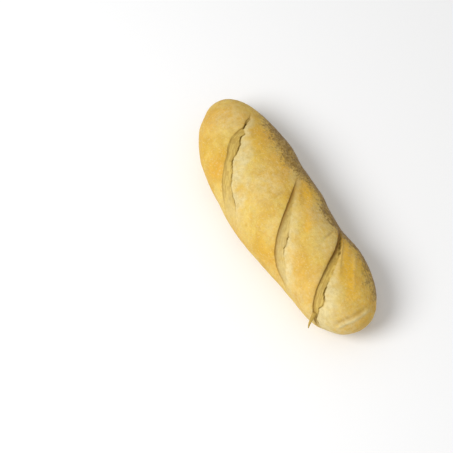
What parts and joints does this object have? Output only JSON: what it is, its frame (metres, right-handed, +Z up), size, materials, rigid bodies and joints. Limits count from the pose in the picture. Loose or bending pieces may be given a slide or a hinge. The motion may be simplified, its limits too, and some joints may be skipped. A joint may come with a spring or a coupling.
{
  "type": "baguette",
  "caption": "Short blunt-ended baguette with slanting slashes opened over its top, lying on its flat underside.",
  "frame": {"origin": "middle of the flat underside, at the centre of the box round the loaf as seen from above", "axes": "+X along the loaf, +Z up. Each slash starts on the +Y side of the top and runs down towards +X and -Y, and its lifted rim is on its -X side"},
  "size_m": [0.2198, 0.0732, 0.0527],
  "materials": {
    "crust": "matte"
  },
  "bodies": {
    "root": {"loaf": "crust"}
  },
  "joints": []
}
